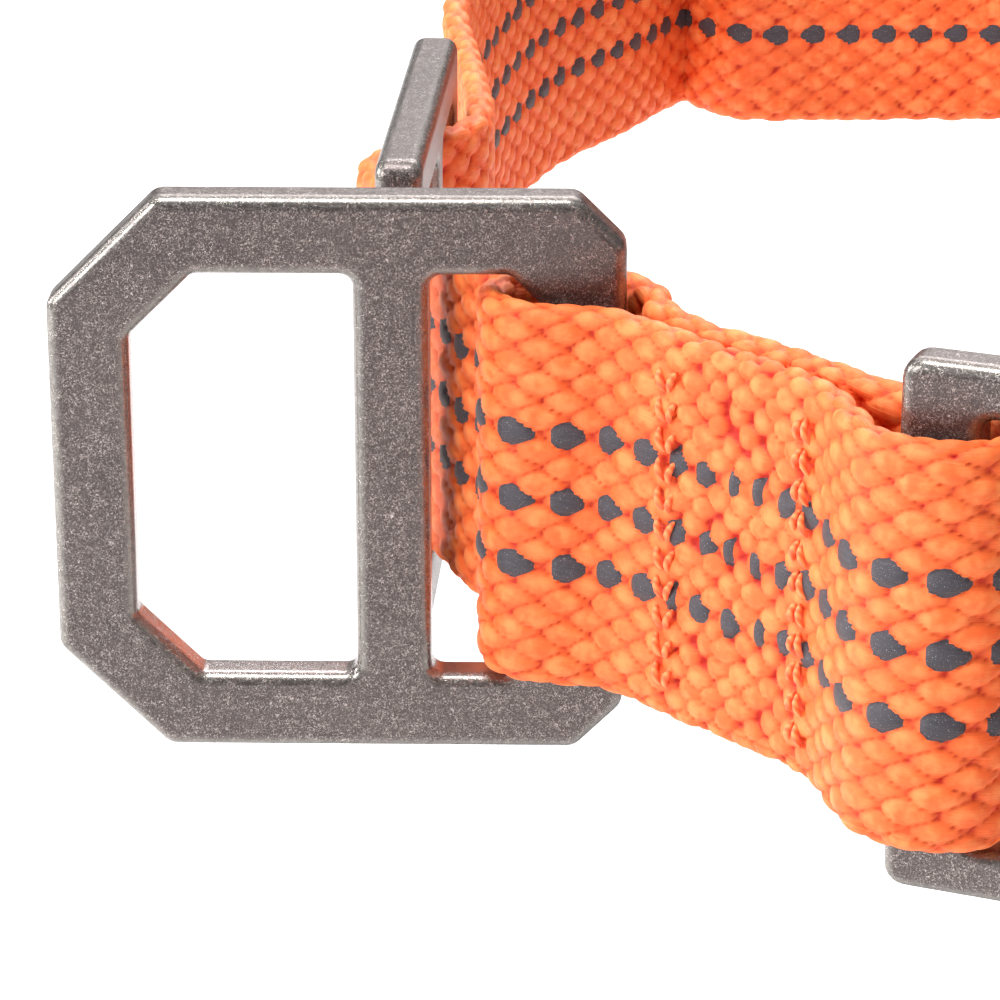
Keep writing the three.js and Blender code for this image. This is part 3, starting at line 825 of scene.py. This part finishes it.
ankle_route = Route(
    [
        from_strap_bar(17.5, 3.5), from_strap_bar(12, 1.2), from_strap_bar(8, 1.3),
        from_strap_bar(5, 3.6),
        *[from_strap_bar(*p) for p in half_turn(0, 0, FOLD_MIDDLE + 1, 90)],
        from_strap_bar(5, -3.6), from_strap_bar(8.6, -1.3), from_strap_bar(12, -1.2),
        (29.4, -75.5), (36.8, -65.2), (41.2, -50), (43, -33), (43.5, -14), (43.5, 0), (43.5, 14),
        (42.5, 32), (38, 49), (30, 61), (20, 68.5), (8.5, 70.3), (-6, 70.2), (-14.5, 70.6),
        (-17.6, 73.4), (-19.3, 76.6), (-21.4, 74), (-25.2, 66.5), (-32, 56), (-37, 43),
        (-39.6, 28), (-38.6, 16), (-37.8, 5), (-37.7, -2), (-39, -5.6), (-42, -9.6),
        (-44.3, -12.6), (-44.9, -15), (-44.3, -17.4), (-42.3, -21), (-40.2, -24.2),
        (-38.9, -27.6), (-37.7, -30.9), (-36.2, -33.6), (-34.6, -35.6),
    ]
)

CALF_X = 4.2  # the calf's axis, in mm
# The calf strap's plan: radius from that axis (mm) and direction (degrees)
calf_polar = [
    (52, -101), (52.6, -93), (53.3, -86), (53.9, -78), (54.1, -72), (54, -68.3), (54.9, -65.7),
    (56.6, -64.4), (58.6, -64.5), (60.4, -65.9), (61.3, -68.5), (61.1, -72), (59.8, -77.5),
    (57.2, -84), (55.6, -91), (54.9, -98), (53.6, -106), (51.4, -120), (50.3, -140), (50, -165),
    (50, -190), (50.2, -215), (51, -240), (52.2, -260), (53.4, -274), (54, -284), (54, -291.7),
    (54.9, -294.3), (56.6, -295.6), (58.6, -295.5), (60.4, -294.1), (61.3, -291.5), (61, -287),
    (59.6, -281.5), (57.2, -274), (55.6, -264), (54.6, -252), (53.4, -238), (52.9, -224),
]
calf_route = Route(
    [
        (CALF_X + r * math.cos(math.radians(a)), r * math.sin(math.radians(a)))
        for r, a in calf_polar
    ]
)


def level_ankle(y):
    """The ankle strap rises a little behind the heel."""
    rise = np.clip((y / MM - 14) / 52, 0, 1)
    return ANKLE_Z + 4 * MM * rise * rise * (3 - 2 * rise)


def flat_level(height):
    return lambda y: np.full_like(y, height)


sewn_start = ring_band_route.nearest(-26, -50.5)
sewn_end = ring_band_route.nearest(-17.6, -60.5)
rear_start = ring_band_route.nearest(-15.4, -58.6)
rear_end = ring_band_route.nearest(-23.2, -50.2)
webbing(
    "ring_band_webbing", ring_band_route, "spur", ANKLE_WIDTH, ANKLE_THICKNESS,
    ANKLE_ROWS, ["ring_band"], flat_level(ANKLE_Z), spacing=0.21 * MM,
    sewn=[(sewn_start, sewn_end), (rear_start, rear_end)],
)
webbing(
    "ankle_strap_webbing", ankle_route, "spur", ANKLE_WIDTH, ANKLE_THICKNESS,
    ANKLE_ROWS, ["ankle_strap"], level_ankle, spacing=0.31 * MM,
)

pair_of_columns = np.array([0.4, 1.3]) * MM
front_columns = [*(sewn_start + pair_of_columns), *(sewn_end - pair_of_columns)]
rear_columns = [*(rear_start + pair_of_columns), *(rear_end - pair_of_columns)]
sew(
    "ring_band_stitches", ring_band_route, [*front_columns, *rear_columns], ANKLE_WIDTH,
    ANKLE_THICKNESS, "spur", flat_level(ANKLE_Z),
)
far_columns = ankle_route.nearest(*from_strap_bar(11, -1.2)) + np.arange(4) * 2 * MM
near_columns = ankle_route.nearest(*from_strap_bar(11, 1.2)) - np.arange(3) * 2 * MM
sew(
    "ankle_strap_stitches", ankle_route, [*far_columns, *near_columns], ANKLE_WIDTH,
    ANKLE_THICKNESS, "spur", flat_level(ANKLE_Z),
)
calf_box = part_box("calf_strap")
calf_level = (calf_box[0].z + calf_box[1].z) / 2
webbing(
    "calf_strap_webbing", calf_route, "calf_cuff", CALF_WIDTH, CALF_THICKNESS,
    CALF_ROWS, ["calf_strap"], flat_level(calf_level), spacing=0.36 * MM,
)


# ---------------------------------------------------------------- forgings, bolts and the cuff's shell


def show_solid(name, surface):
    """A CAD solid just as it is, flat facets and all, in a finer material.
    Its piece is called softened, though nothing here rounds its edges."""
    node = frame["nodes"][name]
    mesh = node.data.copy()
    mesh.materials.clear()
    mesh.materials.append(surface)
    add_piece(name + "_softened", mesh, body_of(node)[0], [name])


def show_solids():
    for name in ("shank", "height_bar"):
        show_solid(name, FORGED)
    show_solid("gaff", GAFF_STEEL)
    show_solid("strap_bracket", TUMBLED)
    show_solid("cuff_shell", CUFF_PLASTIC)
    for name in frame["nodes"]:
        if any(kind in name for kind in ("bolt", "screw", "washer", "nut")):
            show_solid(name, BOLT_STEEL)


show_solids()


# ---------------------------------------------------------------- the cuff's pad

PAD_BACK = 55.2 * MM  # radius of its back, against the shell
PAD_INNER = 46.6 * MM  # nearest that it comes to the calf's axis
PAD_SPAN = math.radians(54.5)
PAD_CORNER = 12 * MM
PAD_EDGE = 2.4 * MM  # thickness at its edge
PAD_CROWN = 3.4 * MM  # what its front adds to that before it is filled
PAD_SWELL = 5 * MM  # farthest that filling moves a point
PAD_HOLLOW = 2.1 * MM  # depth of the hollow that clears the nuts
PIPING_RADIUS = 1.25 * MM
PAD_SEAMS = (-0.34, 0.34)  # where it is sewn through, as parts of its half-length
PAD_COLUMNS = 96
PAD_ROWS = 72


def pad_outline(a):
    """What the round corners add to the pad's half-height at a, from -1 to 1 along it: 0 or less."""
    half_length = PAD_SPAN * PAD_BACK
    over = np.clip(np.abs(a) * half_length - half_length + PAD_CORNER, 0, PAD_CORNER)
    return np.sqrt(PAD_CORNER**2 - over**2) - PAD_CORNER


def pad_points(radius, a, b, middle, half_height):
    """Points on the pad at a along it and b up it, both from -1 to 1, at radii from the calf's axis."""
    angle = a * PAD_SPAN
    z = middle + b * (half_height + pad_outline(a))
    return np.stack([CALF_X * MM + radius * np.cos(angle), radius * np.sin(angle), z], -1)


def inflate(piece, pinned):
    """Fill a pad by cloth simulation with air pressure, and keep the result."""
    start = np.empty(len(piece.data.vertices) * 3)
    piece.data.vertices.foreach_get("co", start)
    start = start.reshape(-1, 3)
    group = piece.vertex_groups.new(name="sewn")
    group.add([int(i) for i in pinned], 1.0, "REPLACE")
    modifier = piece.modifiers.new("filling", "CLOTH")
    cloth = modifier.settings
    cloth.quality = 6
    cloth.mass = 0.12
    cloth.vertex_group_mass = "sewn"
    cloth.use_pressure = True
    cloth.uniform_pressure_force = 4.0
    cloth.shrink_min = -0.08
    cloth.bending_stiffness = 0.2
    cloth.effector_weights.gravity = 0
    modifier.point_cache.frame_start = 1
    modifier.point_cache.frame_end = 20
    for f in range(1, 21):
        scene.frame_set(f)
    filled = piece.evaluated_get(bpy.context.evaluated_depsgraph_get()).to_mesh()
    end = np.empty(len(start) * 3)
    filled.vertices.foreach_get("co", end)
    end = end.reshape(-1, 3)
    piece.modifiers.remove(modifier)
    scene.frame_set(1)
    move = end - start
    size = np.linalg.norm(move, axis=1, keepdims=True)
    end = start + move * np.minimum(1, PAD_SWELL / np.maximum(size, 1e-9))
    radius = np.hypot(end[:, 0] - CALF_X * MM, end[:, 1])
    grow = np.maximum(1, PAD_INNER / radius)
    end[:, 0] = CALF_X * MM + (end[:, 0] - CALF_X * MM) * grow
    end[:, 1] *= grow
    piece.data.vertices.foreach_set("co", end.ravel())
    piece.data.update()


def make_pad():
    low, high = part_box("cuff_pad")
    middle = (low.z + high.z) / 2
    half_height = (high.z - low.z) / 2 - 0.4 * MM
    a, b = np.meshgrid(
        np.linspace(-1, 1, PAD_COLUMNS + 1), np.linspace(-1, 1, PAD_ROWS + 1), indexing="ij"
    )
    # Behind the nuts the back is hollow
    hollow = (np.abs(a * PAD_SPAN * PAD_BACK) < 8 * MM) & (np.abs(b * half_height) < 27 * MM)
    back = PAD_BACK - PAD_HOLLOW * hollow
    seam = sum(np.exp(-(((a - place) / 0.03) ** 2)) for place in PAD_SEAMS)
    crown = np.sqrt(np.clip((1 - a**8) * (1 - b**8), 0, 1)) * (1 - 0.8 * seam)
    front = PAD_BACK - PAD_EDGE - PAD_CROWN * crown
    size = (PAD_COLUMNS + 1) * (PAD_ROWS + 1)
    index = np.arange(size).reshape(PAD_COLUMNS + 1, PAD_ROWS + 1)
    quads = np.stack([index[:-1, :-1], index[1:, :-1], index[1:, 1:], index[:-1, 1:]], -1).reshape(-1, 4)
    border = [*index[:, 0], *index[-1, 1:], *index[-2::-1, -1], *index[0, -2:0:-1]]
    faces = quads.tolist() + (quads[:, ::-1] + size).tolist()
    for here, ahead in zip(border, border[1:] + border[:1]):
        faces.append([int(here), int(here + size), int(ahead + size), int(ahead)])
    sheets = [pad_points(r, a, b, middle, half_height).reshape(-1, 3) for r in (front, back)]
    mesh = mesh_from("cuff_pad_filled", np.vstack(sheets), faces)
    shape = bmesh.new()
    shape.from_mesh(mesh)
    bmesh.ops.recalc_face_normals(shape, faces=shape.faces)
    shape.to_mesh(mesh)
    shape.free()
    mesh.materials.append(PAD_MESH)
    piece = add_piece("cuff_pad_filled", mesh, "calf_cuff", ["cuff_pad"])
    sewn_columns = [round((place + 1) / 2 * PAD_COLUMNS) for place in PAD_SEAMS]
    pinned = np.concatenate([np.arange(size, 2 * size), border, index[sewn_columns].ravel()])
    inflate(piece, np.unique(pinned))
    smooth = piece.modifiers.new("smooth_cloth", "SUBSURF")
    smooth.levels = smooth.render_levels = 1
    edge_a, edge_b = a.ravel()[border], b.ravel()[border]
    make_piping(pad_points(PAD_BACK - 1.2 * MM, edge_a, edge_b, middle, half_height))


def make_piping(loop):
    """The bound edge of the pad: a round cord of the same cloth along a closed loop of points."""
    count = len(loop)
    points = np.empty((count, 10, 3))
    for i in range(count):
        along = Vector(loop[(i + 1) % count] - loop[i - 1]).normalized()
        out = Vector((loop[i][0] - CALF_X * MM, loop[i][1], 0)).normalized()
        side = out.cross(along).normalized()
        for j in range(10):
            angle = math.tau * j / 10
            offset = (out * math.cos(angle) + side * math.sin(angle)) * PIPING_RADIUS
            points[i, j] = Vector(loop[i]) + offset
    mesh = grid_mesh("pad_piping", points, True)
    mesh.materials.append(PIPING)
    add_piece("pad_piping", mesh, "calf_cuff")


make_pad()


# ---------------------------------------------------------------- floor, light and camera


def make_floor():
    size = 6.0
    mesh = mesh_from(
        "floor", [(-size, -size, 0), (size, -size, 0), (size, size, 0), (-size, size, 0)], [[0, 1, 2, 3]]
    )
    floor = bpy.data.objects.new("floor", mesh)
    floor.location.z = cad_bounds[0].z
    scene.collection.objects.link(floor)
    p = Painter("pale_floor")
    p.set(Base_Color=p.mix(p.noise(8.0), (0.90, 0.90, 0.90, 1), (0.93, 0.93, 0.93, 1)), Roughness=0.9)
    mesh.materials.append(p.material)


def area_light(name, place, aim, size, power):
    light = bpy.data.lights.new(name, "AREA")
    light.shape = "DISK"
    light.size = size
    light.energy = power
    lamp = bpy.data.objects.new(name, light)
    lamp.location = place
    lamp.rotation_mode = "QUATERNION"
    lamp.rotation_quaternion = (Vector(aim) - Vector(place)).to_track_quat("-Z", "Y")
    scene.collection.objects.link(lamp)


def make_world():
    """A studio that is bright overhead, a little more so towards the back, and dim all round."""
    world = bpy.data.worlds.new("studio")
    world.use_nodes = True
    tree = world.node_tree
    place = tree.nodes.new("ShaderNodeTexCoord")
    parts = tree.nodes.new("ShaderNodeSeparateXYZ")
    tree.links.new(place.outputs["Generated"], parts.inputs[0])
    height = tree.nodes.new("ShaderNodeMath")
    height.operation = "MULTIPLY_ADD"
    height.inputs[1].default_value = 0.25
    tree.links.new(parts.outputs["Y"], height.inputs[0])
    tree.links.new(parts.outputs["Z"], height.inputs[2])
    shade = tree.nodes.new("ShaderNodeMapRange")
    shade.interpolation_type = "SMOOTHSTEP"
    for socket, value in zip(shade.inputs[1:5], WORLD_RANGE + WORLD_LIGHT):
        socket.default_value = value
    tree.links.new(height.outputs[0], shade.inputs[0])
    tree.links.new(shade.outputs[0], tree.nodes["Background"].inputs["Color"])
    scene.world = world


# Lamps that all aim at the ring's band: name, place, width and watts
LAMPS = [
    ("overhead", (-0.20, -0.20, 1.0), 0.34, 7.0),
    ("key", (-0.85, -0.50, 0.55), 0.35, 6.0),
    ("side", (-0.90, 0.15, 0.35), 0.30, 5.0),
    ("fill", (0.75, -0.75, 0.30), 0.7, 0.4),
]


def make_light():
    aim = at_ankle((-25, -50))
    for name, place, size, power in LAMPS:
        area_light(name, place, aim, size, power)
    area_light("floor_light", (0.2, 1.3, 1.3), (0, 0.8, -0.05), 1.2, 30.0)


CAMERA_LENS = 143.1
CAMERA_PITCH = math.radians(21)  # how steeply it looks down
CAMERA_DISTANCE = 245.6 * MM


def make_camera():
    data = bpy.data.cameras.new("camera")
    camera = bpy.data.objects.new("camera", data)
    scene.collection.objects.link(camera)
    data.sensor_width = 36
    data.lens = CAMERA_LENS
    data.clip_start = 0.01
    low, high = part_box("ring_band")
    aim = Vector((low.x + 1.5 * MM, (low.y + high.y) / 2 + 9.5 * MM, ANKLE_Z - 0.66 * MM))
    back = Vector((0, -math.cos(CAMERA_PITCH), math.sin(CAMERA_PITCH)))
    camera.location = aim + back * CAMERA_DISTANCE
    camera.rotation_euler = (math.pi / 2 - CAMERA_PITCH, 0, 0)
    scene.camera = camera


make_floor()
make_world()
make_light()
make_camera()
scene.view_settings.view_transform = "Standard"
